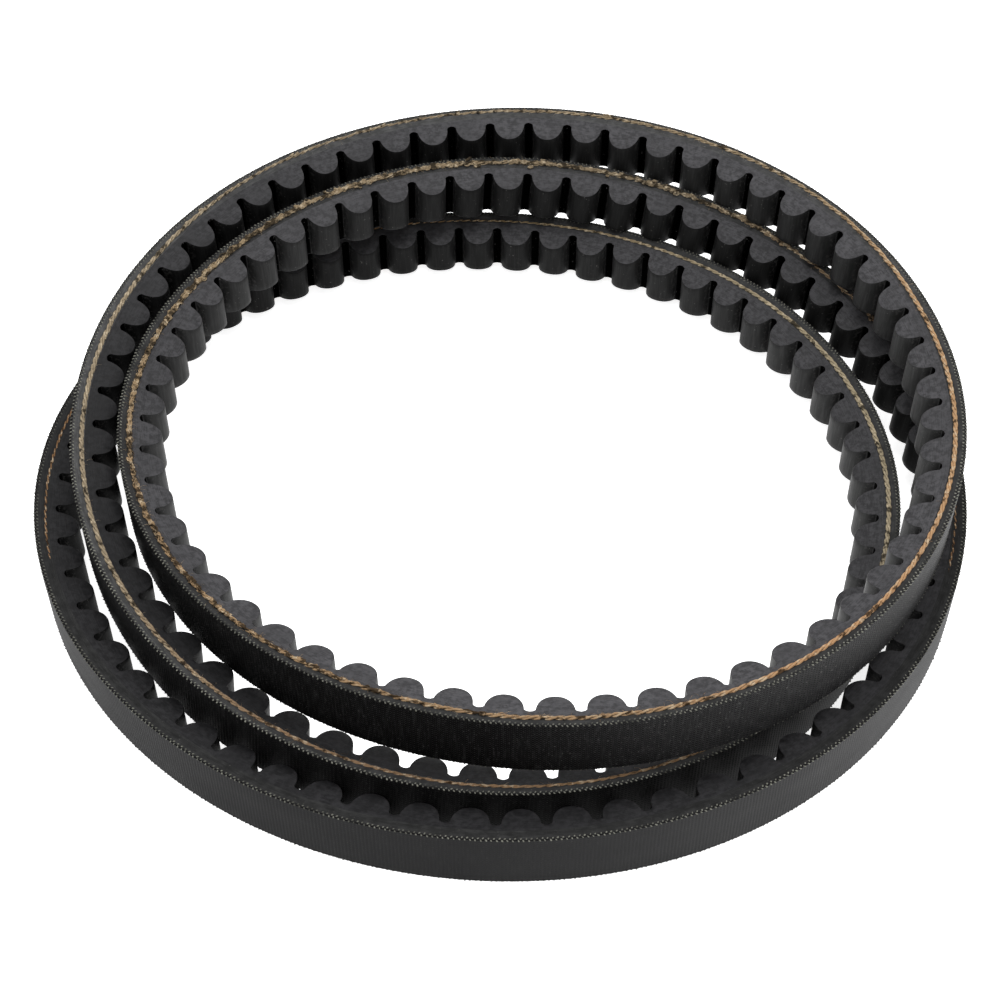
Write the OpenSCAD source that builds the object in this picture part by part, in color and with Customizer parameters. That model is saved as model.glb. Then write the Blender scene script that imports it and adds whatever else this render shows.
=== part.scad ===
// Cogged raw-edge V-belt, one endless band wound into a coil of three loops that lies on its side.
// Millimetres, +Z up. The coil rests on z = 0, and the origin is under the middle of its bounding box.
// -Y is the front, where the loops lie furthest apart.
// The back of the belt faces outward all round, the cogs face inward, and one cut sidewall faces up.

/* [Belt section] */
// width across the back of the belt
top_w = 12.7; // [10.5:0.1:14]
// thickness from the back to the tips of the cogs
belt_t = 8.2; // [7.6:0.1:9.6]
// slope of each cut sidewall, measured from square to the back
wall_angle = 18; // [14:0.5:20]
// thickness of each of the two fabric plies on the back
ply_t = 0.35; // [0.25:0.05:0.5]
// thickness of the rubber between the fabric and the cord band
overcord_t = 0.9; // [0.6:0.1:1.4]

/* [Cogs] */
// number of cogs round the whole belt
cog_count = 173; // [140:1:190]
// height of a cog above the floor of the groove beside it
cog_h = 4.2; // [3:0.1:4.6]

/* [Cord] */
// thickness of the rubber band that the cord is bedded in
gum_t = 1.1; // [0.9:0.1:1.4]
// diameter of the tensile cord
cord_d = 0.9; // [0.6:0.05:1]
// number of times the cord goes round the belt
cord_runs = 8; // [6:1:9]

/* [Coil] */
// overall width of the coil from left to right
coil_w = 181; // [170:1:195]

/* [Hidden] */
// Route of the cord line. Eight points a loop, 45 degrees apart and clockwise from the front.
// Each point is a radius in millimetres at the drawn size, and a height above the floor in belt widths.
// A radius differs from DRAWN_R by more on a thicker belt, so that its loops lie further apart.
ROUTE = [
  [92, 0.5], [87.5, 0.5], [84, 0.5], [72, 0.5], [66.5, 0.5], [72.5, 0.5], [81.5, 0.5], [88.5, 0.5],
  [84, 0.5], [78.5, 1.05], [74, 1.5], [76.5, 1.8], [82, 1.95], [89.5, 1.95], [94, 1.75], [92, 1.7],
  [78.5, 1.75], [69, 1.65], [65, 1.55], [64.5, 1.55], [69.5, 1.65], [81.5, 1.15], [95.5, 0.6], [99, 0.5]
];
POINTS_PER_LOOP = 8;
DRAWN_W = 181; // overall width that the radii above give
DRAWN_R = 80; // radius about which the loops are spread
DRAWN_T = 8.2; // belt thickness that the radii above suit
SAMPLES_PER_POINT = 12; // samples between two route points when the length is measured
SLOPE_STEP = 0.02; // part of a route step either side of a place, for its direction
FIRST_GROOVE = 0.435; // place of the first groove after the front, in pitches
// Half of one cog outline from the middle of the groove to the tip: share of the pitch, share of the height.
COG_OUTLINE = [[0, 0], [0.1, 0.08], [0.15, 0.5], [0.25, 0.83], [0.37, 0.96], [0.5, 1]];
CORD_END = 22.5; // route point near which the cord runs out of the upper sidewall
CUT_TURNS = 0.83; // belt lengths over which the last run of cord lies in the cut face
CORD_PROUD = 0.05; // how far the middle of the cut cord stands out of the sidewall
CORD_CORNERS = [[1, 1], [-1, 1], [-1, -1], [1, -1]]; // corners of the cord's section, outward and upward

route_n = len(ROUTE);
spread = belt_t / DRAWN_T;
middle_r = (coil_w - (DRAWN_W - 2 * DRAWN_R) * spread) / 2;
fabric_t = 2 * ply_t;
gum_top = fabric_t + overcord_t;
gum_bottom = gum_top + gum_t;
cord_depth = gum_top + gum_t / 2;
groove_depth = belt_t - cog_h;
cord_side = cord_d * sqrt(PI) / 2; // side of the square with the same area as the round cord

function half_w(depth) = top_w / 2 - depth * tan(wall_angle);
function unit(v) = v / norm(v);
function route_point(i) = ROUTE[((i % route_n) + route_n) % route_n];
// Weights of four route points in a row, f of the way from the second to the third.
function weights(f) = [
  pow(1 - f, 3),
  3 * pow(f, 3) - 6 * f * f + 4,
  1 + 3 * f + 3 * f * f - 3 * pow(f, 3),
  pow(f, 3)
] / 6;
function blended(i, w) =
  w[0] * route_point(i - 1) + w[1] * route_point(i) + w[2] * route_point(i + 1) + w[3] * route_point(i + 2);
function around(u) = -90 - 360 * u / POINTS_PER_LOOP;
function radius(q) = middle_r + (q[0] - DRAWN_R) * spread;
function place(q, angle) = [radius(q) * cos(angle), radius(q) * sin(angle), q[1] * top_w];
// A place on the cord line, u route points after the front.
function spine(u) = place(blended(floor(u), weights(u - floor(u))), around(u));

// Lengths along the cord line, added up sample by sample.
samples = [for (i = [0 : route_n * SAMPLES_PER_POINT]) spine(i / SAMPLES_PER_POINT)];
function step_after(i) = i + 1 < len(samples) ? norm(samples[i + 1] - samples[i]) : 0;
lengths = [for (i = 0, s = 0; i < len(samples); s = s + step_after(i), i = i + 1) s];
route_len = lengths[len(lengths) - 1];
u_by_length = [for (i = [0 : len(lengths) - 1]) [lengths[i], i / SAMPLES_PER_POINT]];
length_by_u = [for (i = [0 : len(lengths) - 1]) [i / SAMPLES_PER_POINT, lengths[i]]];
pitch = route_len / cog_count;

function frame_from(p, along, out) = [p, out, cross(along, out)];
function frame_along(p, along) = frame_from(p, along, unit(cross([0, 0, 1], along)));
function frame_at_u(u) = frame_along(spine(u), unit(spine(u + SLOPE_STEP) - spine(u - SLOPE_STEP)));
// Place, outward direction and upward direction at a length along the belt.
function frame_at(s) = frame_at_u(lookup(s, u_by_length));
function between(a, b, x) = a * (1 - x) + b * x;
function on_belt(f, depth, side) = f[0] + f[1] * (cord_depth - depth) + f[2] * side * half_w(depth);

// One frame in the middle of each groove.
frames = [for (k = [0 : cog_count - 1]) frame_at((k + FIRST_GROOVE) * pitch)];
edge_x = [for (f = frames, side = [-1, 1]) on_belt(f, 0, side)[0]];
edge_y = [for (f = frames, side = [-1, 1]) on_belt(f, 0, side)[1]];
to_middle = [-(max(edge_x) + min(edge_x)) / 2, -(max(edge_y) + min(edge_y)) / 2, 0];

// A closed band of the belt between two depths below its back.
module band(depth_out, depth_in) {
  points = [
    for (f = frames)
      each [
        on_belt(f, depth_out, 1),
        on_belt(f, depth_in, 1),
        on_belt(f, depth_in, -1),
        on_belt(f, depth_out, -1)
      ]
  ];
  faces = [
    for (k = [0 : cog_count - 1])
      let (here = 4 * k, next = 4 * ((k + 1) % cog_count))
        each [
          [here, next, next + 1, here + 1],
          [here + 1, next + 1, next + 2, here + 2],
          [here + 2, next + 2, next + 3, here + 3],
          [here, here + 3, next + 3, next]
        ]
  ];
  translate(to_middle)
    polyhedron(points, faces);
}

module outer_fabric_ply()
  color([0.16, 0.16, 0.17])
    band(0, ply_t);

module inner_fabric_ply()
  color([0.55, 0.53, 0.48])
    band(ply_t, fabric_t);

module overcord_rubber()
  color([0.22, 0.22, 0.23])
    band(fabric_t, gum_top);

module cord_gum()
  color([0.19, 0.19, 0.2])
    band(gum_top, gum_bottom);

// The cord is one long helix from the lower sidewall to the upper one. It ends in the cut face.
// It bends where the bands round it bend, in the middle of each groove.
cord_reach = half_w(cord_depth) + CORD_PROUD - cord_side / 2;
cord_rise = 2 * cord_reach / (cord_runs - CUT_TURNS);
cord_n = cord_runs * cog_count;
cord_start = round(lookup(CORD_END, length_by_u) / pitch);

function cord_height(turns) = min(cord_reach, cord_rise * turns - cord_reach);
function cord_ring(f, up) = [
  for (c = CORD_CORNERS)
    f[0] + f[1] * c[0] * cord_side / 2 + f[2] * (up + c[1] * cord_side / 2)
];
// One side of the cord between two rings, where corner follows corner round the section.
function cord_face(m, corner) = let (a = 4 * m + corner, b = 4 * m + (corner + 1) % 4)
  [a, a + 4, b + 4, b];

module tensile_cord() {
  points = [
    for (m = [0 : cord_n])
      each cord_ring(frames[(cord_start + m) % cog_count], cord_height(m / cog_count))
  ];
  sides = [for (m = [0 : cord_n - 1], corner = [0 : 3]) cord_face(m, corner)];
  last = 4 * cord_n;
  ends = [[0, 1, 2, 3], [last + 3, last + 2, last + 1, last]];
  color([0.78, 0.62, 0.42])
    translate(to_middle)
      polyhedron(points, concat(sides, ends));
}

// One whole cog from groove to groove, without the groove point it shares with the next cog.
half_n = len(COG_OUTLINE);
cog_line = concat(
  COG_OUTLINE,
  [for (i = [half_n - 2 : -1 : 1]) [1 - COG_OUTLINE[i][0], COG_OUTLINE[i][1]]]
);
line_n = len(cog_line);
tip = half_n - 1;
per_cog = 2 * line_n + 2;

function cog_points(k) = let (a = frames[k], b = frames[(k + 1) % cog_count])
  concat(
    [on_belt(a, gum_bottom, 1), on_belt(a, gum_bottom, -1)],
    [for (q = cog_line, side = [1, -1]) on_belt(between(a, b, q[0]), groove_depth + cog_h * q[1], side)]
  );

// Number of an outline point: cog k, place i on its outline, side 0 (upper) or 1 (lower).
function line_id(k, i, side) = i < line_n
  ? per_cog * k + 2 + 2 * i + side
  : per_cog * ((k + 1) % cog_count) + 2 + side;
function top_id(k, side) = per_cog * (k % cog_count) + side;
function flipped(face, side) = side == 0 ? face : [face[2], face[1], face[0]];
// A sidewall triangle from the groove point of cog j to one step of the outline of cog k.
function wall_face(j, k, i, side) =
  flipped([top_id(j, side), line_id(k, i + 1, side), line_id(k, i, side)], side);
function wall_faces(k, side) = concat(
  [for (i = [0 : tip - 1]) wall_face(k, k, i, side)],
  [flipped([top_id(k, side), top_id(k + 1, side), line_id(k, tip, side)], side)],
  [for (i = [tip : line_n - 1]) wall_face(k + 1, k, i, side)]
);
function inner_face(k, i) = [line_id(k, i, 0), line_id(k, i + 1, 0), line_id(k, i + 1, 1), line_id(k, i, 1)];
function cog_faces(k) = concat(
  [[top_id(k, 0), top_id(k, 1), top_id(k + 1, 1), top_id(k + 1, 0)]],
  [for (i = [0 : line_n - 1]) inner_face(k, i)],
  wall_faces(k, 0),
  wall_faces(k, 1)
);

module compression_rubber()
  color([0.24, 0.24, 0.25])
    translate(to_middle)
      polyhedron(
        [for (k = [0 : cog_count - 1]) each cog_points(k)],
        [for (k = [0 : cog_count - 1]) each cog_faces(k)]
      );

outer_fabric_ply();
inner_fabric_ply();
overcord_rubber();
cord_gum();
tensile_cord();
compression_rubber();
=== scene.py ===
import math

import bpy
import numpy as np
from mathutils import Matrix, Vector


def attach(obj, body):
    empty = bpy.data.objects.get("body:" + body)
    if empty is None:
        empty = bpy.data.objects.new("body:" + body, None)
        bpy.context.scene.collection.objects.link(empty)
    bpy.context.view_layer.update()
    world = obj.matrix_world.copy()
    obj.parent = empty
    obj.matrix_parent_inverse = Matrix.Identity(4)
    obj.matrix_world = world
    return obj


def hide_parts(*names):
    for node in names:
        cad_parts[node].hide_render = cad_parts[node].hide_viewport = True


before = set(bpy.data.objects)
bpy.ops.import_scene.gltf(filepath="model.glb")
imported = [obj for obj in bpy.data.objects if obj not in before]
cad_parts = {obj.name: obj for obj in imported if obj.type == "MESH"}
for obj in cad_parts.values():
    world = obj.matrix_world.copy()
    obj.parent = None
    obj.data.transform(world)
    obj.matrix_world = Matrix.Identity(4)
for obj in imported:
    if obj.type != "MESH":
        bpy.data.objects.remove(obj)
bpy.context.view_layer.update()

MM = 0.001
TURN = 2 * math.pi

# The belt's section, in millimetres, as in the CAD model.
TOP_W = 12.7
BELT_T = 8.2
WALL_SLOPE = math.tan(math.radians(18))
PLY_T = 0.35
FABRIC_T = 2 * PLY_T
GUM_TOP = FABRIC_T + 0.9
GUM_BOTTOM = GUM_TOP + 1.1
CORD_DEPTH = (GUM_TOP + GUM_BOTTOM) / 2
CORD_D = 0.9
COG_COUNT = 173
COG_H = 4.2
GROOVE_DEPTH = BELT_T - COG_H

# Route of the cord line, as in the CAD model: radius in millimetres, height in belt widths,
# eight points a loop and clockwise from the front.
ROUTE = np.array([
    [92, 0.5], [87.5, 0.5], [84, 0.5], [72, 0.5],
    [66.5, 0.5], [72.5, 0.5], [81.5, 0.5], [88.5, 0.5],
    [84, 0.5], [78.5, 1.05], [74, 1.5], [76.5, 1.8],
    [82, 1.95], [89.5, 1.95], [94, 1.75], [92, 1.7],
    [78.5, 1.75], [69, 1.65], [65, 1.55], [64.5, 1.55],
    [69.5, 1.65], [81.5, 1.15], [95.5, 0.6], [99, 0.5],
])
ROUTE_N = len(ROUTE)
POINTS_PER_LOOP = 8
SAMPLES_PER_POINT = 12
SLOPE_STEP = 0.02
FIRST_GROOVE = 0.435

# Each cog is a rounded arch between grooves with rounded floors. Reaches are shares of the pitch.
ARCH_REACH = 0.39
ARCH_POWER = 2.2
FLOOR_REACH = 0.13
FLOOR_RISE = 0.14

# Tones of the belt along its route, painted light and shade among them: route point, brightness
# of the cut body, of the overcord, of the moulded cog faces, of the back and of the thread ends,
# then the back's shine and how clear its weave is. The brightness of the cut body, overcord, cog
# faces and
# back is painted light and shade: darker where a stretch of the coil lies in shade, lighter where
# lit.
BELT_SHADE_SHINE_WEAVE = [
    (0, 0.26, 0.4, 0.24, 0.3, 0.7, 0.13, 0.2),
    (1, 0.24, 0.35, 0.2, 0.27, 0.6, 0.14, 0.2),
    (2, 0.2, 0.25, 0.2, 0.25, 0.4, 0.15, 0.3),
    (3.4, 0.25, 0.3, 0.21, 0.3, 0.2, 0.2, 0.4),
    (4, 0.48, 0.4, 0.2, 0.3, 0.2, 0.2, 0.5),
    (5, 0.46, 0.45, 0.32, 0.3, 0.4, 0.2, 0.5),
    (6, 0.42, 0.4, 0.65, 0.3, 0.6, 0.2, 0.5),
    (7.3, 0.4, 0.5, 0.5, 0.25, 0.8, 0.15, 0.5),
    (8, 0.26, 0.6, 0.29, 0.2, 0.9, 0.12, 0.6),
    (9, 0.17, 0.72, 0.21, 0.2, 0.8, 0.12, 0.6),
    (10, 0.17, 0.85, 0.18, 0.25, 0.75, 0.15, 0.6),
    (11, 0.35, 0.75, 0.18, 0.35, 0.6, 0.25, 0.5),
    (12, 0.58, 0.82, 0.15, 0.4, 0.4, 0.25, 0.4),
    (13.4, 0.58, 0.7, 0.42, 0.5, 0.5, 0.25, 0.5),
    (14, 0.58, 0.4, 0.65, 0.5, 0.8, 0.3, 0.8),
    (15, 0.64, 0.35, 0.7, 0.6, 0.8, 0.3, 1),
    (15.5, 0.7, 0.4, 0.7, 0.4, 0.65, 0.2, 1),
    (15.9, 0.72, 0.4, 0.5, 0.1, 0.5, 0.07, 1),
    (17, 0.62, 0.35, 0.65, 0.1, 0.5, 0.07, 0.8),
    (18, 0.45, 0.3, 0.52, 0.2, 0.7, 0.12, 0.6),
    (19, 0.54, 0.35, 0.4, 0.25, 0.5, 0.15, 0.5),
    (20, 0.56, 0.5, 0.18, 0.25, 0.3, 0.15, 0.5),
    (21.4, 0.43, 0.35, 0.19, 0.38, 0.5, 0.24, 0.5),
    (22.2, 0.36, 0.25, 0.28, 0.4, 0.7, 0.25, 0.4),
    (23, 0.29, 0.3, 0.32, 0.44, 0.8, 0.3, 0.2),
    (24, 0.26, 0.4, 0.24, 0.3, 0.7, 0.13, 0.2),
]
CUT_BODY, OVERCORD, MOULDED, BACK, ENDS, SHINE, WEAVE = range(1, 8)

UV_NAME = "belt_mm"


# ---------------------------------------------------------------- the belt's path

def spine(u):
    """Points on the cord line, u route points after the front, in millimetres."""
    u = np.atleast_1d(np.asarray(u, float))
    k = np.floor(u).astype(int)
    f = (u - k)[:, None]
    q = (
        (1 - f) ** 3 * ROUTE[(k - 1) % ROUTE_N]
        + (3 * f ** 3 - 6 * f * f + 4) * ROUTE[k % ROUTE_N]
        + (1 + 3 * f + 3 * f * f - 3 * f ** 3) * ROUTE[(k + 1) % ROUTE_N]
        + f ** 3 * ROUTE[(k + 2) % ROUTE_N]
    ) / 6
    angle = -TURN * (0.25 + u / POINTS_PER_LOOP)
    return np.stack([q[:, 0] * np.cos(angle), q[:, 0] * np.sin(angle), q[:, 1] * TOP_W], 1)


def unit(v):
    return v / np.linalg.norm(v, axis=-1, keepdims=True)


U_TABLE = np.arange(ROUTE_N * SAMPLES_PER_POINT + 1) / SAMPLES_PER_POINT
S_TABLE = np.concatenate([[0], np.cumsum(np.linalg.norm(np.diff(spine(U_TABLE), axis=0), axis=1))])
ROUTE_LEN = S_TABLE[-1]
PITCH = ROUTE_LEN / COG_COUNT


def u_of(s):
    return np.interp(np.mod(s, ROUTE_LEN), S_TABLE, U_TABLE)


def s_of(u):
    return np.interp(u, U_TABLE, S_TABLE)


class Place:
    """Places on the cord line at lengths s, with the directions along, out and up."""

    def __init__(self, s):
        self.s = np.asarray(s, float)
        u = u_of(self.s)
        self.point = spine(u) + TO_MIDDLE
        self.along = unit(spine(u + SLOPE_STEP) - spine(u - SLOPE_STEP))
        self.out = unit(np.cross([0, 0, 1], self.along))
        self.up = np.cross(self.along, self.out)


def half_w(depth):
    return TOP_W / 2 - depth * WALL_SLOPE


def edge_middle():
    """Middle of the box round the outer edges, which the CAD model puts at the origin."""
    here = Place((np.arange(COG_COUNT) + FIRST_GROOVE) * PITCH)
    edges = np.concatenate([
        here.point + here.out * CORD_DEPTH + here.up * side * half_w(0) for side in (-1, 1)
    ])
    middle = (edges.max(0) + edges.min(0)) / 2
    return np.array([middle[0], middle[1], 0])


TO_MIDDLE = np.zeros(3)
TO_MIDDLE = -edge_middle()


# ---------------------------------------------------------------- mesh helpers

def mesh_object(name, points, faces, uvs, material, slot, sharp=None):
    """A mesh of equal-sided faces, with points in millimetres and one uv per face corner."""
    points = np.asarray(points, float).reshape(-1, 3) * MM
    faces = np.asarray(faces, int)
    corners = faces.shape[1]
    mesh = bpy.data.meshes.new(name)
    mesh.vertices.add(len(points))
    mesh.vertices.foreach_set("co", points.ravel())
    mesh.loops.add(faces.size)
    mesh.loops.foreach_set("vertex_index", faces.ravel())
    mesh.polygons.add(len(faces))
    mesh.polygons.foreach_set("loop_start", np.arange(len(faces)) * corners)
    mesh.polygons.foreach_set("loop_total", np.full(len(faces), corners))
    layer = mesh.uv_layers.new(name=UV_NAME)
    layer.data.foreach_set("uv", np.asarray(uvs, float).reshape(-1, 2).ravel())
    mesh.update(calc_edges=True)
    mesh.validate()
    mesh.shade_smooth()
    if sharp is not None:
        mesh.set_sharp_from_angle(angle=math.radians(sharp))
    mesh.materials.append(material)
    made = bpy.data.objects.new(name, mesh)
    bpy.context.scene.collection.objects.link(made)
    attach(made, "root")
    return made


def grid_faces(rows, columns, ring_rows, ring_columns):
    """Quads of a grid, joined round in either direction where that is a ring."""
    i = np.arange(rows if ring_rows else rows - 1)[:, None]
    j = np.arange(columns if ring_columns else columns - 1)[None, :]
    a = i * columns + j
    b = ((i + 1) % rows) * columns + j
    c = ((i + 1) % rows) * columns + (j + 1) % columns
    d = i * columns + (j + 1) % columns
    return np.stack([a, b, c, d], -1).reshape(-1, 4)


def grid_uvs(s, across, length):
    """One uv per face corner of a ring of rows, so that the last face ends at the full length."""
    here = np.broadcast_to(s[:, None], across.shape)
    ahead = np.broadcast_to(np.append(s[1:], s[0] + length)[:, None], across.shape)
    across_ahead = np.roll(across, -1, 0)
    corners = [
        (here, across),
        (ahead, across_ahead),
        (ahead, np.roll(across_ahead, -1, 1)),
        (here, np.roll(across, -1, 1)),
    ]
    return np.stack([np.stack(corner, -1) for corner in corners], 2)


def belt_sweep(name, s, outs, ups, across, material, slot, sharp=30):
    """A closed band of the belt: rings of offsets outward and upward, at lengths s."""
    here = Place(s)
    outs, ups, across = (np.stack(part, 1) for part in (outs, ups, across))
    points = (
        here.point[:, None]
        + here.out[:, None] * outs[..., None]
        + here.up[:, None] * ups[..., None]
    )
    faces = grid_faces(len(s), outs.shape[1], True, True)
    return mesh_object(name, points, faces, grid_uvs(s, across, ROUTE_LEN), material, slot, sharp)


def ripple(s, seed, size, shortest=2.0, count=14):
    """A smooth random wave along the belt that meets itself after one length."""
    rng = np.random.default_rng(seed)
    total = np.zeros(len(s))
    for _ in range(count):
        waves = rng.integers(5, int(ROUTE_LEN / shortest))
        total += np.sin(TURN * (waves * s / ROUTE_LEN + rng.random())) * rng.uniform(0.3, 1)
    return total * size / math.sqrt(count)


def tubes(name, lines, radii, places, sides, material, slot):
    """Round tubes along lists of points, with a radius and a length along the belt for each."""
    points, faces, uvs = [], [], []
    first = 0
    angle = (TURN * np.arange(sides) / sides)[None, :, None]
    v = np.arange(sides)[None, :] / sides
    for line, radius, s in zip(lines, radii, places):
        line = np.asarray(line, float)
        along = unit(np.gradient(line, axis=0))
        side = unit(np.cross(along, [0.31, 0.17, 0.94]))
        other = np.cross(along, side)
        ring = np.cos(angle) * side[:, None] + np.sin(angle) * other[:, None]
        ring = ring * np.asarray(radius, float)[:, None, None]
        points.append((line[:, None] + ring).reshape(-1, 3))
        faces.append(grid_faces(len(line), sides, False, True) + first)
        here = np.broadcast_to(s[:-1, None], (len(line) - 1, sides))
        ahead = np.broadcast_to(s[1:, None], here.shape)
        low = np.broadcast_to(v, here.shape)
        corners = [(here, low), (ahead, low), (ahead, low + 1 / sides), (here, low + 1 / sides)]
        uvs.append(np.stack([np.stack(corner, -1) for corner in corners], 2).reshape(-1, 2))
        first += len(line) * sides
    parts = [np.concatenate(part) for part in (points, faces, uvs)]
    return mesh_object(name, *parts, material, slot)


def wall_axes(here, side):
    """Directions in a cut sidewall: inward from the back, and square out of the wall."""
    inward = unit(-here.out - here.up * side * WALL_SLOPE)
    proud = unit(here.up * side - here.out * WALL_SLOPE)
    return inward, proud


def on_wall(here, depth, side, lift=0.0):
    """Points on a cut sidewall at a depth below the back, lifted square out of it."""
    _, proud = wall_axes(here, side)
    depth = np.broadcast_to(depth, here.s.shape)[:, None]
    lift = np.broadcast_to(lift, here.s.shape)[:, None]
    edge = here.point + here.out * (CORD_DEPTH - depth) + here.up * side * half_w(depth)
    return edge + proud * lift


# ---------------------------------------------------------------- materials

class Paint:
    """A node material. Its coordinates are millimetres along and across the belt."""

    def __init__(self, name, roughness, specular=0.5):
        self.material = bpy.data.materials.new(name)
        self.material.use_nodes = True
        self.tree = self.material.node_tree
        self.tree.nodes.clear()
        self.shader = self.add("ShaderNodeBsdfPrincipled")
        self.shader.inputs["Roughness"].default_value = roughness
        self.shader.inputs["Specular IOR Level"].default_value = specular
        output = self.add("ShaderNodeOutputMaterial")
        self.tree.links.new(self.shader.outputs[0], output.inputs[0])
        uv = self.add("ShaderNodeUVMap")
        uv.uv_map = UV_NAME
        self.belt = uv.outputs[0]
        self.space = self.add("ShaderNodeTexCoord").outputs["Object"]

    def add(self, kind):
        return self.tree.nodes.new(kind)

    def put(self, socket, value):
        if isinstance(value, bpy.types.NodeSocket):
            self.tree.links.new(value, socket)
        else:
            socket.default_value = value

    def math(self, operation, a, b=0.0):
        node = self.add("ShaderNodeMath")
        node.operation = operation
        self.put(node.inputs[0], a)
        self.put(node.inputs[1], b)
        return node.outputs[0]

    def times(self, first, *rest):
        for value in rest:
            first = self.math("MULTIPLY", first, value)
        return first

    def plus(self, a, b):
        return self.math("ADD", a, b)

    def minus(self, a, b):
        return self.math("SUBTRACT", a, b)

    def stretched(self, coords, scale):
        node = self.add("ShaderNodeVectorMath")
        node.operation = "MULTIPLY"
        self.put(node.inputs[0], coords)
        node.inputs[1].default_value = scale
        return node.outputs[0]

    def noise(self, coords, scale, detail=3.0, roughness=0.55):
        node = self.add("ShaderNodeTexNoise")
        self.put(node.inputs["Vector"], self.stretched(coords, scale))
        node.inputs["Scale"].default_value = 1.0
        node.inputs["Detail"].default_value = detail
        node.inputs["Roughness"].default_value = roughness
        return node.outputs[0]

    def streaks(self, along, across, detail=3.0):
        """Noise with that many cells a millimetre along and across the belt."""
        return self.noise(self.belt, (along, across, 1), detail)

    def lumps(self, per_metre, detail=3.0, roughness=0.55):
        """Noise with that many cells a metre in every direction."""
        return self.noise(self.space, (per_metre,) * 3, detail, roughness)

    def band(self, value, low, high):
        """0 below low, 1 above high, and smooth between them."""
        node = self.add("ShaderNodeMapRange")
        node.interpolation_type = "SMOOTHSTEP"
        self.put(node.inputs["Value"], value)
        node.inputs["From Min"].default_value = low
        node.inputs["From Max"].default_value = high
        return node.outputs[0]

    def scaled(self, value, low, high):
        """A value from 0 to 1 taken to low to high."""
        node = self.add("ShaderNodeMapRange")
        self.put(node.inputs["Value"], value)
        node.inputs["To Min"].default_value = low
        node.inputs["To Max"].default_value = high
        return node.outputs[0]

    def mix(self, factor, a, b):
        node = self.add("ShaderNodeMix")
        node.data_type = "RGBA"
        self.put(node.inputs[0], factor)
        self.put(node.inputs[6], a)
        self.put(node.inputs[7], b)
        return node.outputs[2]

    def along(self, table):
        """A colour that changes along the belt, from pairs of route point and colour."""
        node = self.add("ShaderNodeValToRGB")
        stops = node.color_ramp.elements
        for _ in range(len(table) - 2):
            stops.new(0.5)
        for stop, (u, colour) in zip(stops, table):
            stop.position = float(s_of(u)) / ROUTE_LEN
            stop.color = colour
        self.put(node.inputs[0], self.math("DIVIDE", self.split()[0], ROUTE_LEN))
        return node.outputs[0]

    def look(self, column):
        """One column of BELT_SHADE_SHINE_WEAVE, as a value along the belt."""
        return self.along([(row[0], (row[column],) * 3 + (1,)) for row in BELT_SHADE_SHINE_WEAVE])

    def shaded(self, colour, value):
        """A colour made darker by a value from 0 to 1."""
        return self.mix(value, (0, 0, 0, 1), colour)

    def split(self):
        node = self.add("ShaderNodeSeparateXYZ")
        self.put(node.inputs[0], self.belt)
        return node.outputs[0], node.outputs[1]

    def finish(self, colour, height, distance, roughness=None):
        """Colour, relief of that many millimetres, and roughness where it varies."""
        self.put(self.shader.inputs["Base Color"], colour)
        if roughness is not None:
            self.put(self.shader.inputs["Roughness"], roughness)
        bump = self.add("ShaderNodeBump")
        bump.inputs["Distance"].default_value = distance * MM
        self.put(bump.inputs["Height"], height)
        self.put(self.shader.inputs["Normal"], bump.outputs[0])
        return self.material


def grey(level, warm=0.0):
    return (level * (1 + warm), level, level * (1 - warm), 1)


def cool(level):
    return (level, level * 0.98, level * 1.05, 1)


def cut_rubber(name, level, roughness):
    """Rubber cut by a knife: fine streaks lengthwise, mottled, with pale specks of dust, and
    darkened along the route by painted shade.
    """
    paint = Paint(name, roughness, 0.15)
    streak = paint.streaks(0.35, 7.0, 4)
    mottle = paint.streaks(0.5, 0.6, 3)
    grain = paint.lumps(9000, 2)
    shade = paint.times(streak, mottle)
    colour = paint.mix(paint.band(shade, 0.14, 0.4), grey(level * 0.6), grey(level * 1.35))
    scratch = paint.band(paint.streaks(0.5, 13.0, 2), 0.66, 0.74)
    colour = paint.mix(paint.times(scratch, 0.5), colour, grey(level * 2))
    speck = paint.band(paint.lumps(2600, 1), 0.72, 0.76)
    colour = paint.mix(paint.times(speck, 0.5), colour, grey(level * 4, 0.05))
    # Painted light and shade along the route, from the overcord column of the table.
    colour = paint.shaded(colour, paint.look(OVERCORD))
    height = paint.plus(streak, paint.times(grain, 0.5))
    rough = paint.scaled(mottle, roughness - 0.12, roughness + 0.14)
    return paint.finish(colour, height, 0.05, rough)


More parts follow.
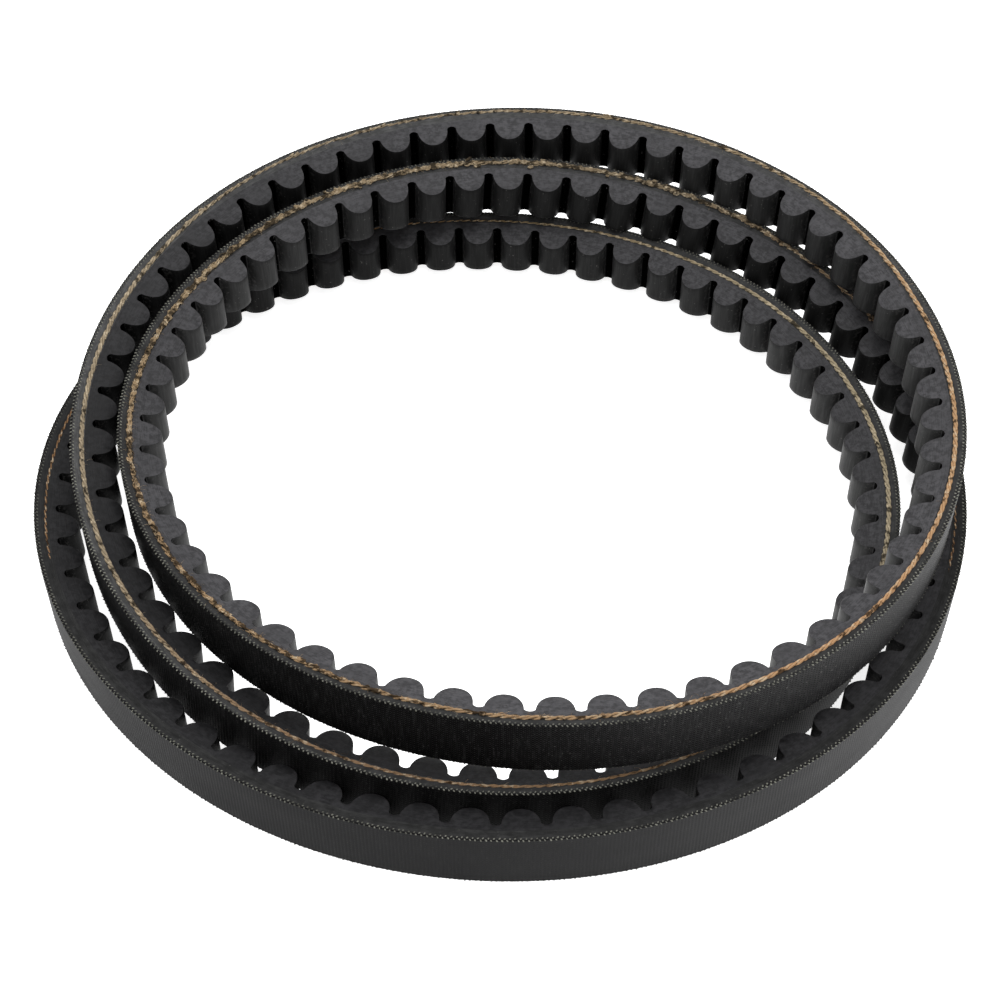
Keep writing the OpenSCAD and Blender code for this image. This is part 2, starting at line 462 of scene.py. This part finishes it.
def body_rubber():
    """Rubber of the cogs: cut on the sidewalls, moulded smooth and blacker on the cog faces, with
    painted shade in the hollows between cogs and painted light and shade along the route.
    """
    level = 0.075
    paint = Paint("cog_rubber", 0.5)
    along, across = paint.split()
    moulded = paint.times(
        paint.band(paint.minus(across, WALL_V), -0.02, 0.02),
        paint.band(paint.minus(FACE_END_V, across), -0.02, 0.02),
    )
    phase = paint.minus(paint.math("DIVIDE", along, PITCH), FIRST_GROOVE)
    from_nose = paint.math("ABSOLUTE", paint.minus(paint.math("FRACT", phase), 0.5))
    # nose: painted shade of the hollows between cogs, full brightness on the cog noses and down to
    # 3% in the grooves.
    nose = paint.scaled(paint.band(from_nose, NOSE_EDGE + 0.05, NOSE_EDGE), 0.03, 1)
    # brightness: painted light and shade of the cog faces along the route.
    brightness = paint.look(MOULDED)

    streak = paint.streaks(0.3, 5.0, 4)
    mottle = paint.lumps(900, 6, 0.7)
    cloud = paint.band(paint.lumps(110), 0.4, 0.7)
    shade = paint.plus(paint.times(streak, 0.3), paint.times(mottle, 0.7))
    cut = paint.mix(paint.band(shade, 0.4, 0.6), cool(level * 0.58), cool(level * 1.35))
    cut = paint.mix(paint.times(cloud, 0.45), cut, cool(level * 0.7))
    scratch = paint.band(paint.streaks(0.45, 9.0, 2), 0.7, 0.76)
    cut = paint.mix(paint.times(scratch, 0.3), cut, grey(level * 1.8))
    # Painted light and shade of the cut sidewalls along the route.
    cut = paint.shaded(cut, paint.look(CUT_BODY))

    drawn = paint.streaks(3.0, 0.18)
    black = paint.mix(paint.band(drawn, 0.4, 0.7), grey(0.034), grey(0.056))
    # The cog faces are darkened by the painted groove shade and by painted light and shade along
    # the route.
    black = paint.shaded(paint.shaded(black, nose), brightness)
    speck = paint.band(paint.lumps(1900, 1.5), 0.7, 0.75)
    edge = paint.math("ABSOLUTE", paint.minus(from_nose, NOSE_EDGE))
    dusty = paint.band(paint.lumps(1500, 2), 0.52, 0.62)
    dusty_edge = paint.times(paint.band(edge, 0.035, 0.01), dusty, 0.22)
    black = paint.mix(paint.plus(paint.times(speck, 0.5), dusty_edge), black, grey(0.1, 0.03))

    grain = paint.lumps(7000, 2)
    rugged = paint.plus(streak, paint.times(grain, 0.45))
    smooth = paint.plus(paint.times(drawn, 0.35), paint.times(grain, 0.15))
    rough = paint.minus(paint.scaled(mottle, 0.55, 0.75), paint.times(moulded, 0.16))
    # The moulded faces' specular level follows the same painted shade.
    gloss = paint.times(nose, 0.2, brightness)
    specular = paint.plus(paint.scaled(moulded, 0.18, 0), paint.times(moulded, gloss))
    paint.put(paint.shader.inputs["Specular IOR Level"], specular)
    colour = paint.mix(moulded, cut, black)
    return paint.finish(colour, paint.mix(moulded, rugged, smooth), 0.05, rough)


def woven_back():
    """Rubber-filled fabric: threads along and across, paler in patches where they cross, and all
    its tones darkened along the route by painted shade.
    """
    paint = Paint("back_fabric", 0.5)
    along, across = paint.split()
    weft = paint.math("SINE", paint.times(along, TURN / RIB_PITCH))
    warp = paint.math("SINE", paint.times(across, TURN / WARP_PITCH))
    cross = paint.times(weft, warp)
    wear = paint.streaks(0.05, 0.16, 4)
    patch = paint.streaks(1.6, 1.6, 2)
    weave = paint.look(WEAVE)
    # back: painted light and shade along the route. It darkens the base colour, the pale picks and
    # the knuckles, and thins out the flecks.
    back = paint.look(BACK)
    knuckle = paint.times(paint.band(paint.times(cross, patch), 0.2, 0.5), weave)
    base = paint.mix(wear, cool(0.013), cool(0.024))
    ribbed = paint.scaled(paint.times(paint.scaled(weft, 0.5, 1), weave), 1.15, 0.35)
    colour = paint.shaded(paint.shaded(base, ribbed), back)
    picked = paint.times(paint.band(paint.streaks(1.7, 0.3, 2), 0.5, 0.66), weave, 0.4)
    colour = paint.mix(picked, colour, paint.shaded(grey(0.05), paint.scaled(back, 0.2, 1)))
    raised = paint.shaded(grey(0.075, 0.02), paint.scaled(back, 0.12, 0.75))
    colour = paint.mix(knuckle, colour, raised)
    fleck = paint.band(paint.streaks(2.3, 2.0, 1), 0.66, 0.73)
    fleck = paint.times(fleck, weave, paint.scaled(back, 0.12, 0.7))
    colour = paint.mix(fleck, colour, grey(0.16, 0.03))
    grain = paint.lumps(6000, 2)
    threads = paint.times(paint.plus(paint.times(cross, 0.3), paint.times(warp, 0.12)), weave)
    height = paint.plus(threads, paint.times(grain, 0.3))
    rough = paint.scaled(wear, 0.4, 0.6)
    paint.put(paint.shader.inputs["Specular IOR Level"], paint.times(paint.look(SHINE), 0.4))
    return paint.finish(colour, height, 0.07, rough)


def thread_end_paint():
    """Cut thread ends: pale grey-beige, dulled unevenly by rubber."""
    paint = Paint("thread_ends", 0.8, 0.1)
    tone = paint.lumps(1500, 2)
    soot = paint.lumps(260, 4)
    pale = paint.mix(tone, (0.12, 0.12, 0.1, 1), (0.34, 0.34, 0.29, 1))
    colour = paint.mix(paint.band(soot, 0.42, 0.7), pale, (0.07, 0.07, 0.06, 1))
    return paint.finish(paint.shaded(colour, paint.look(ENDS)), tone, 0.03)


# Colour of the cord along the route: route point, then red, green and blue.
CORD_TINT = [
    (0, 0.16, 0.09, 0.045), (3.4, 0.24, 0.13, 0.06), (4.2, 0.18, 0.13, 0.07),
    (5.2, 0.28, 0.23, 0.15), (6.6, 0.3, 0.25, 0.17), (7.4, 0.26, 0.16, 0.085),
    (8.5, 0.26, 0.165, 0.095), (9.3, 0.27, 0.215, 0.145), (10.8, 0.27, 0.215, 0.145),
    (11.4, 0.22, 0.17, 0.11), (13.1, 0.28, 0.21, 0.13), (13.6, 0.38, 0.24, 0.13),
    (15.1, 0.41, 0.235, 0.12), (15.5, 0.31, 0.2, 0.11), (17, 0.3, 0.2, 0.11),
    (18.8, 0.27, 0.2, 0.12), (20.8, 0.2, 0.155, 0.1), (21.6, 0.18, 0.115, 0.065),
    (22.4, 0.18, 0.1, 0.05), (24, 0.16, 0.09, 0.045),
]


def cord_paint(name, pale, sooty):
    """Twisted yarn: tan filaments, orange in places, darkened by rubber."""
    paint = Paint(name, 0.8, 0.08)
    tint = paint.along([(row[0], row[1:] + (1,)) for row in CORD_TINT])
    fibre = paint.streaks(1.6, 26.0, 3)
    tone = paint.lumps(1100, 4)
    soot = paint.lumps(520, 4)
    light = paint.mix(paint.times(paint.band(tone, 0.5, 0.66), pale), tint, (0.55, 0.46, 0.33, 1))
    dark = paint.shaded(tint, 0.16)
    colour = paint.mix(paint.band(soot, 0.7 - sooty, 0.82 - sooty), light, dark)
    colour = paint.mix(paint.times(paint.band(fibre, 0.5, 0.7), 0.45), colour, dark)
    return paint.finish(colour, fibre, 0.04)


def floor_paint():
    paint = Paint("pale_floor", 0.7, 0.2)
    # The floor glows white (emission 0.8). This is painted light: it lights the belt from below
    # and washes out the shadows on the floor.
    paint.shader.inputs["Emission Color"].default_value = (1, 1, 1, 1)
    paint.shader.inputs["Emission Strength"].default_value = 0.8
    cloud = paint.lumps(3, 2)
    return paint.finish(paint.mix(cloud, grey(0.9), grey(0.93)), cloud, 0.02)


# ---------------------------------------------------------------- the rubber body with its cogs

CHAMFER = 0.1
STEPS_PER_HALF_COG = 12
KNIFE_WAVE = 0.02
WALL_ROWS = np.array([0, 0.3, 0.6, 1.0])
FACE_ROWS = np.array([1, 0.72, 0.36, 0, -0.36, -0.72, -1])

# Across the belt, the uv counts millimetres below the back on the upper sidewall, then on from
# WALL_V to FACE_END_V over the cog face, and then from LOWER_WALL_V on the lower sidewall.
WALL_V = 10.0
FACE_END_V = WALL_V + 2 * TOP_W
LOWER_WALL_V = FACE_END_V + 10

# Where the painted shade of the hollow between two cogs begins, in pitches from the middle of a
# cog.
NOSE_EDGE = 0.375


def cog_rise(share):
    """Height of the inner face as a share of a cog's, by distance from the middle of a groove."""
    reach = np.clip((0.5 - share) / ARCH_REACH, 0, 1)
    arch = (1 - reach ** ARCH_POWER) ** (1 / ARCH_POWER)
    return np.maximum(arch, FLOOR_RISE * np.minimum(share / FLOOR_REACH, 1) ** 2)


def cog_depths(share):
    """Depth of the inner face, by share of the pitch after the middle of a groove."""
    return GROOVE_DEPTH + COG_H * cog_rise(np.minimum(share, 1 - share))


def smooth_cog_shares(per_half):
    """Shares of the pitch, evenly spaced along the rounded outline of half a cog."""
    share = np.linspace(0, 0.5, 2000)
    steps = np.hypot(np.diff(share * PITCH), np.diff(cog_rise(share) * COG_H))
    length = np.concatenate([[0], np.cumsum(steps)])
    return np.interp(np.linspace(0, length[-1], per_half + 1), length, share)


def make_body(material):
    half = smooth_cog_shares(STEPS_PER_HALF_COG)
    shares = np.concatenate([half, 1 - half[-2:0:-1]])
    k, q = np.meshgrid(np.arange(COG_COUNT), shares, indexing="ij")
    s = ((k + q + FIRST_GROOVE) * PITCH).ravel()
    inner = cog_depths(q.ravel())
    knife = ripple(s, 3, KNIFE_WAVE, 6)
    walls = []
    for side in (1, -1):
        wall = []
        for row in WALL_ROWS:
            depth = GUM_BOTTOM + (inner - CHAMFER - GUM_BOTTOM) * row
            v = depth if side > 0 else LOWER_WALL_V + depth
            wall.append((depth, side * (half_w(depth) + knife * min(row * 3, 1)), v))
        walls.append(wall)
    face = []
    for row in FACE_ROWS:
        up = row * (half_w(inner) - CHAMFER)
        face.append((inner, up, WALL_V + TOP_W - up))
    depths, ups, across = zip(*(walls[0] + face + walls[1][::-1]))
    outs = [CORD_DEPTH - depth for depth in depths]
    return belt_sweep("cogged_rubber_body", s, outs, ups, across, material, "cog_rubber", 40)


# ---------------------------------------------------------------- the layers above it

LOWER_EDGE_V = 40.0  # uv of a layer's lower cut edge, less its depth below the back
LAYER_ROWS = 5
LAYER_STEPS = 12  # sections of a layer to each cog
RIB_COUNT = 2400
RIB_PITCH = ROUTE_LEN / RIB_COUNT
RIB_STEPS = 4
RIB_HEIGHT = 0.028
WARP_PITCH = 0.58
BACK_SINK = 0.03
EDGE_WEAR = 0.05


def make_layer(name, top, bottom, s, relief, material, slot, channel=0.0):
    """A flat layer of the belt, with its two cut edges rippled by the knife."""
    rows = np.linspace(0, 1, LAYER_ROWS)
    outs, ups, across = [], [], []
    for side in (1, -1):
        part_outs, part_ups, part_across = [], [], []
        for row in rows:
            depth = top + (bottom - top) * row
            uneven = relief * np.sin(math.pi * row) * (1 + ripple(s, int(depth * 100) + side, 0.8))
            dip = channel * math.sin(math.pi * row) ** 2
            part_outs.append(np.full(len(s), CORD_DEPTH - depth))
            part_ups.append(side * (half_w(depth) + uneven - dip))
            part_across.append(np.full(len(s), depth if side > 0 else LOWER_EDGE_V - depth))
        if side < 0:
            part_outs.reverse()
            part_ups.reverse()
            part_across.reverse()
        outs += part_outs
        ups += part_ups
        across += part_across
    return belt_sweep(name, s, outs, ups, across, material, slot)


def make_back(material):
    """The outer fabric ply. Each crosswise thread stands up as a low rib."""
    s = (np.arange(RIB_COUNT * RIB_STEPS) + 0.5) * RIB_PITCH / RIB_STEPS
    rib = RIB_HEIGHT * np.cos(TURN * s / RIB_PITCH)
    rows = np.linspace(1, -1, 7)
    outs, ups, across = [], [], []
    outs.append(np.full(len(s), CORD_DEPTH - PLY_T))
    ups.append(np.full(len(s), half_w(PLY_T)))
    across.append(np.full(len(s), -PLY_T))
    for row in rows:
        worn = EDGE_WEAR if abs(row) == 1 else 0
        outs.append(CORD_DEPTH - BACK_SINK - worn + rib)
        ups.append(row * half_w(0) + rib * (np.sign(row) * 0.9 if abs(row) == 1 else 0))
        across.append(np.full(len(s), (1 - row) * TOP_W / 2))
    outs.append(np.full(len(s), CORD_DEPTH - PLY_T))
    ups.append(np.full(len(s), -half_w(PLY_T)))
    across.append(np.full(len(s), TOP_W + PLY_T))
    return belt_sweep("back_fabric", s, outs, ups, across, material, "back_fabric", 50)


# ---------------------------------------------------------------- cut thread ends

THREAD_PITCH = 0.88
# Rows of thread ends: depth below the back in millimetres, slant in degrees, and shift in pitches.
END_ROWS = [(0.17, 34, 0), (0.66, -34, 0.5)]
END_SIDES = 6
END_LONG_R = (0.22, 0.32)
END_SHORT_R = (0.12, 0.19)
END_RISE = (0.05, 0.13)


def make_thread_ends(name, side, seed, material):
    """Cut thread ends on one sidewall: two rows, half a pitch apart and slanting opposite ways."""
    rng = np.random.default_rng(seed)
    count = round(ROUTE_LEN / THREAD_PITCH)
    points, faces, places = [], [], []
    angle = TURN * np.arange(END_SIDES) / END_SIDES
    for depth, slant, shift in END_ROWS:
        s = (np.arange(count) + shift + rng.normal(0, 0.05, count)) * ROUTE_LEN / count
        here = Place(s)
        inward, proud = wall_axes(here, side)
        tilt = np.radians(slant * side + rng.normal(0, 7, count))[:, None]
        long_way = inward * np.cos(tilt) + here.along * np.sin(tilt)
        short_way = np.cross(proud, long_way)
        long_r = rng.uniform(*END_LONG_R, count)[:, None]
        short_r = rng.uniform(*END_SHORT_R, count)[:, None]
        rise = rng.uniform(*END_RISE, count)[:, None]
        middle = on_wall(here, depth + rng.normal(0, 0.025, count), side)
        for share, level in ((1, -0.3), (0.72, 0.75)):
            for a in angle:
                points.append(middle + long_way * long_r * share * math.cos(a)
                              + short_way * short_r * share * math.sin(a) + proud * rise * level)
        points.append(middle + proud * rise)
        places.append(s)
    per_row = 2 * END_SIDES + 1
    stacked = []
    for row in range(len(END_ROWS)):
        block = np.stack(points[row * per_row:(row + 1) * per_row], 1)
        stacked.append(block.reshape(-1, 3))
    for j in range(END_SIDES):
        n = (j + 1) % END_SIDES
        faces.append([j, n, END_SIDES + n])
        faces.append([j, END_SIDES + n, END_SIDES + j])
        faces.append([END_SIDES + j, END_SIDES + n, 2 * END_SIDES])
    faces = np.array(faces)
    if side < 0:
        faces = faces[:, ::-1]
    total = count * len(END_ROWS)
    every = (np.arange(total)[:, None, None] * per_row + faces[None]).reshape(-1, 3)
    uvs = np.zeros((every.size, 2))
    uvs[:, 0] = np.repeat(np.concatenate(places), faces.size)
    return mesh_object(name, np.concatenate(stacked), every, uvs, material, "inner_fabric")


# ---------------------------------------------------------------- the cord where it shows

# The cord along the route: route point, depth below the back in millimetres, height of its middle
# above the upper sidewall in millimetres, how frayed it is, and its thickness as a share of the
# full cord's.
CORD_LOOK = np.array([
    [1.2, 2.15, -0.62, 0, 0.8], [1.6, 2.15, -0.27, 0.05, 0.75], [2.6, 2.15, -0.2, 0.05, 0.75],
    [3.8, 2.15, -0.3, 0, 0.75], [5, 2.15, -0.15, 0.1, 0.85], [5.6, 2.15, 0, 0.15, 1.05],
    [6.6, 2.15, 0, 0.1, 1.05], [7.2, 2.15, -0.15, 0.05, 0.8], [8.4, 2.15, -0.14, 0.2, 0.8],
    [9.2, 2.2, 0.02, 0.15, 1.02], [10.6, 2.1, 0.04, 0.15, 1.02], [11.2, 1.2, -0.04, 0.25, 0.7],
    [12, 1, -0.04, 0.35, 0.65], [12.4, 1, 0, 0.5, 0.75], [13.2, 1.1, 0, 0.45, 0.8],
    [13.7, 2, 0.05, 0, 1], [15.1, 2.15, 0.06, 0, 1], [15.5, 2.15, 0, 0.5, 0.9],
    [16.6, 2.15, -0.05, 0.7, 0.8], [17.4, 2.2, -0.16, 0.95, 0.7], [18.6, 2.1, -0.16, 1, 0.7],
    [19.2, 1.4, -0.1, 1, 0.75], [21, 1.3, -0.1, 0.95, 0.75], [21.5, 1.9, -0.2, 0.4, 0.75],
    [22, 2.15, -0.24, 0.25, 0.7], [22.45, 2.15, -0.27, 0.2, 0.7], [22.6, 2.15, -0.7, 0, 0.7],
])
WIDE_FRAY_U = 19  # route point after which the tangles lie spread over the sidewall
CORD_LAY = 5.6  # length of one twist of the cord, in millimetres
LOWER_CORD = (CORD_DEPTH, -0.3, 0, 1)  # depth, height, fray and thickness on the lower sidewall
STRANDS = 3
STRAND_R = CORD_D / 2 / (1 + 2 / math.sqrt(3))


# Loose yarn, in millimetres: how much of it there is, where it lies along the route, and how thick
# it is.
YARNS = 10
YARN_SPAN = (8, 21.9)
YARN_STEP = 0.5
YARN_R = (0.09, 0.15)
YARN_TIP_R = 0.02
CLUMP_TRIES = 800
CLUMP_SPAN = (7.5, 21.8)
CLUMP_SIZE = (0.22, 0.62)
CLUMP_R = (0.09, 0.16)
CLUMP_STEPS = 18
FIBRE_TRIES = 3200
FIBRE_SPAN = (7, 22)
FIBRE_LEN = (0.5, 1.6)
FIBRE_R = (0.028, 0.012)
FIBRE_STEPS = 5


def cord_look(u, column):
    return np.interp(u, CORD_LOOK[:, 0], CORD_LOOK[:, column])


def depth_of(u):
    return cord_look(u, 1)


def lift_of(u):
    return cord_look(u, 2)


def fray_of(u):
    return cord_look(u, 3)


def make_cord(name, side, start, end, step, sides, material):
    """The last run of cord, three strands twisted together, lying in one sidewall."""
    s = np.arange(s_of(start), s_of(end), step)
    u = u_of(s)
    here = Place(s)
    inward, proud = wall_axes(here, side)
    if side > 0:
        depth, lift, fray, thick = (cord_look(u, column) for column in range(1, 5))
    else:
        depth, lift, fray, thick = (np.full(len(s), value) for value in LOWER_CORD)
    depth = depth + ripple(s, 11, 1, 5) * (0.04 + 0.22 * fray)
    lift = lift + ripple(s, 12, 1, 5) * (0.03 + 0.1 * fray)
    middle = on_wall(here, depth, side, lift)
    around = ((CORD_D / 2 - STRAND_R) * thick * (1 + 0.5 * fray))[:, None]
    lines, radii = [], []
    for strand in range(STRANDS):
        turn = (TURN * (s / CORD_LAY + strand / STRANDS))[:, None]
        lines.append(middle + (inward * np.cos(turn) + proud * np.sin(turn)) * around)
        bumps = ripple(s, 20 + strand, 0.13, 1.1, 24) * (1 + 2.5 * fray)
        radii.append(STRAND_R * thick * (1.1 + bumps))
    return tubes(name, lines, radii, [s] * STRANDS, sides, material, "cord")


def make_frayed_yarns(material):
    """Yarns that have come loose along the cut cord, spread over it and looped."""
    rng = np.random.default_rng(41)
    lines, radii, places = [], [], []
    for yarn in range(YARNS):
        s = np.arange(*s_of(YARN_SPAN), YARN_STEP) + rng.uniform(0, 0.4)
        here = Place(s)
        inward, proud = wall_axes(here, 1)
        fray = fray_of(u_of(s))
        swing = ripple(s, 100 + yarn, 0.42, 1.8, 26)
        slow = ripple(s, 200 + yarn, 0.3, 9, 10)
        lift = np.abs(ripple(s, 300 + yarn, 0.3, 1.8, 22))
        middle = on_wall(here, depth_of(u_of(s)), 1, lift_of(u_of(s)))
        drift = (swing + slow) * (0.2 + 0.9 * fray)
        rise = 0.22 + lift * fray
        line = middle + inward * drift[:, None] + proud * rise[:, None]
        keep = fray + ripple(s, 400 + yarn, 0.5, 3, 14) > 0.72
        radius = rng.uniform(*YARN_R) * (1 + ripple(s, 500 + yarn, 0.2, 1.5))
        breaks = np.flatnonzero(np.diff(keep.astype(int)))
        for piece in np.split(np.arange(len(s)), breaks + 1):
            if keep[piece[0]] and len(piece) > 4:
                steps = np.arange(len(piece))
                taper = np.minimum(1, (np.minimum(steps, steps[::-1]) + 0.4) / 2)
                lines.append(line[piece])
                radii.append(np.maximum(radius[piece] * taper, YARN_TIP_R))
                places.append(s[piece])
    return tubes("frayed_yarns", lines, radii, places, 5, material, "cord")


def make_clumps(material):
    """Small tangles of yarn that stand up where the cord is frayed most."""
    rng = np.random.default_rng(57)
    lines, radii, places = [], [], []
    for _ in range(CLUMP_TRIES):
        u = rng.uniform(*CLUMP_SPAN)
        bunch = 0.5 + 0.5 * math.sin(u * 61) * math.sin(u * 17.3)
        if rng.random() > fray_of(u) ** 1.5 * (0.3 + 1.2 * bunch):
            continue
        s = s_of(u)
        here = Place(np.array([s]))
        inward, proud = wall_axes(here, 1)
        spread = 0.42 if u > WIDE_FRAY_U else 0.16
        middle = on_wall(here, depth_of(u) + rng.normal(0, spread), 1, 0.1)[0]
        size = rng.uniform(*CLUMP_SIZE) * (0.6 + 0.4 * fray_of(u))
        t = np.linspace(0, rng.uniform(0.9, 2.2) * TURN, CLUMP_STEPS)
        a = size * np.cos(t + rng.uniform(0, TURN)) * rng.uniform(0.8, 1.7)
        b = size * np.sin(t * rng.uniform(0.8, 1.4)) * rng.uniform(0.5, 0.9)
        c = 0.08 + 0.22 * np.abs(np.sin(t * 1.3 + rng.uniform(0, TURN)))
        lines.append(middle + here.along * a[:, None] + inward * b[:, None] + proud * c[:, None])
        radii.append(np.full(CLUMP_STEPS, rng.uniform(*CLUMP_R)))
        places.append(s + a)
    return tubes("yarn_clumps", lines, radii, places, 6, material, "cord")


def make_fibres(material):
    """Single fibres that stand off the cut cord."""
    rng = np.random.default_rng(71)
    lines, radii, places = [], [], []
    for _ in range(FIBRE_TRIES):
        u = rng.uniform(*FIBRE_SPAN)
        if rng.random() > 0.15 + fray_of(u):
            continue
        s = s_of(u)
        here = Place(np.array([s]))
        inward, proud = wall_axes(here, 1)
        root = on_wall(here, depth_of(u) + rng.normal(0, 0.3), 1, lift_of(u) + 0.15)[0]
        way = here.along[0] * rng.normal(0, 1) + inward[0] * rng.normal(0, 0.8)
        length = rng.uniform(*FIBRE_LEN)
        t = np.linspace(0, 1, FIBRE_STEPS)[:, None]
        bow = math.sin(rng.uniform(0.5, 1.4))
        curve = way / np.linalg.norm(way) * t * length + proud[0] * bow * 0.45 * np.sin(t * 2.4)
        lines.append(root + curve)
        radii.append(np.linspace(*FIBRE_R, FIBRE_STEPS))
        places.append(np.full(FIBRE_STEPS, s))
    return tubes("loose_fibres", lines, radii, places, 3, material, "cord")


# ---------------------------------------------------------------- build

LAYER_S = np.arange(COG_COUNT * LAYER_STEPS) * PITCH / LAYER_STEPS

body = make_body(body_rubber())
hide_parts("compression_rubber")
gum_paint = cut_rubber("gum", 0.06, 0.62)
gum = make_layer("cord_gum_band", GUM_TOP, GUM_BOTTOM, LAYER_S, 0.02, gum_paint, "gum", 0.08)
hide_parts("cord_gum")
over_paint = cut_rubber("overcord", 0.065, 0.6)
overcord = make_layer("overcord_band", FABRIC_T, GUM_TOP, LAYER_S, 0.025, over_paint, "overcord")
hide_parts("overcord_rubber")
ply_paint = cut_rubber("inner_ply", 0.04, 0.65)
inner_ply = make_layer("inner_ply_band", PLY_T, FABRIC_T, LAYER_S, 0.01, ply_paint, "inner_fabric")
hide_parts("inner_fabric_ply")
back = make_back(woven_back())
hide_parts("outer_fabric_ply")

ends_paint = thread_end_paint()
make_thread_ends("upper_thread_ends", 1, 5, ends_paint)
make_thread_ends("lower_thread_ends", -1, 6, ends_paint)

cord = cord_paint("cord_yarn", 0.6, 0.17)
upper_cord = make_cord("upper_cord_run", 1, 1.25, 22.55, 0.45, 7, cord)
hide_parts("tensile_cord")
make_cord("lower_cord_run", -1, 0.5, 23.5, 0.6, 5, cord)
loose = cord_paint("loose_yarn", 0.62, 0.25)
make_frayed_yarns(loose)
make_clumps(loose)
make_fibres(loose)


# ---------------------------------------------------------------- floor, light and camera

FLOOR_SIZE = 5
FLOOR_Z = -0.0001


def make_floor():
    bpy.ops.mesh.primitive_plane_add(size=FLOOR_SIZE, location=(0, 0, FLOOR_Z))
    floor = bpy.context.object
    floor.name = "pale_floor"
    floor.data.materials.append(floor_paint())


def area_light(name, place, target, size, power):
    light = bpy.data.lights.new(name, "AREA")
    light.shape = "SQUARE"
    light.size = size
    light.energy = power
    lamp = bpy.data.objects.new(name, light)
    lamp.location = place
    lamp.rotation_euler = (Vector(target) - Vector(place)).to_track_quat("-Z", "Y").to_euler()
    bpy.context.scene.collection.objects.link(lamp)


def make_world(level):
    world = bpy.data.worlds.new("studio")
    world.use_nodes = True
    background = world.node_tree.nodes["Background"]
    background.inputs[0].default_value = (1, 1, 1, 1)
    background.inputs[1].default_value = level
    bpy.context.scene.world = world


WORLD_LEVEL = 0.9
LAMP_PLACE = (0.1, 0.15, 1.1)
LAMP_SIZE = 0.9
LAMP_POWER = 9

CAMERA_TARGET = Vector((0.0002, -0.0012, 0))
CAMERA_DISTANCE = 0.3778
CAMERA_ELEVATION = math.radians(47.46)
CAMERA_LENS = 66.9


def make_camera():
    data = bpy.data.cameras.new("camera")
    data.sensor_width = 36
    data.lens = CAMERA_LENS
    data.clip_start = 0.01
    data.clip_end = 20
    camera = bpy.data.objects.new("camera", data)
    away = Vector((0, -math.cos(CAMERA_ELEVATION), math.sin(CAMERA_ELEVATION)))
    camera.location = CAMERA_TARGET + away * CAMERA_DISTANCE
    camera.rotation_euler = (math.pi / 2 - CAMERA_ELEVATION, 0, 0)
    bpy.context.scene.collection.objects.link(camera)
    bpy.context.scene.camera = camera


make_floor()
make_world(WORLD_LEVEL)
area_light("overhead", LAMP_PLACE, (0, 0, 0), LAMP_SIZE, LAMP_POWER)
make_camera()
bpy.context.scene.view_settings.view_transform = "Standard"
